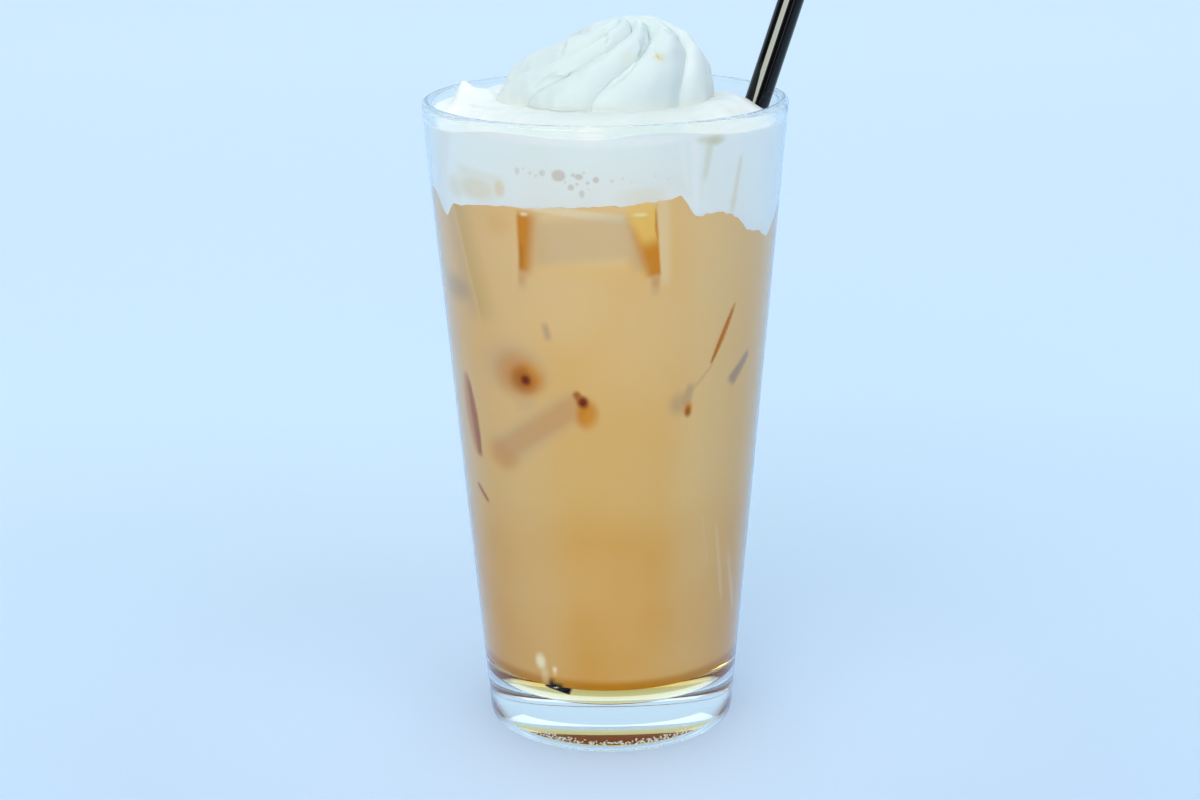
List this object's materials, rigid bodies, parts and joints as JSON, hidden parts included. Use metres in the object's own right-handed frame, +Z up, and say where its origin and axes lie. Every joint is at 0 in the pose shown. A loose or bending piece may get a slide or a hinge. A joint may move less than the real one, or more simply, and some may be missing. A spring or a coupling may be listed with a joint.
{
  "type": "french vanilla iced latte in a pint glass",
  "caption": "Iced milky coffee in a clear straight-sided glass, filled to the brim, topped with a twisted swirl of whipped cream and a leaning black drinking straw.",
  "frame": {"origin": "middle of the glass's flat underside, on the surface that it stands on", "axes": "+Z up along the glass's axis, +Y away from the picture's viewer, +X to the right, the side the straw leans to"},
  "size_m": [0.0988, 0.0888, 0.1991],
  "materials": {
    "clear_glass": "smooth pressed clear soda-lime glass",
    "milky_coffee": "opaque milky coffee, smooth and wet",
    "cream": "soft satin whipped cream",
    "black_plastic": "glossy black moulded plastic"
  },
  "bodies": {
    "root": {"glass": "clear_glass", "latte": "milky_coffee", "whipped_cream": "cream", "straw": "black_plastic"}
  },
  "joints": []
}
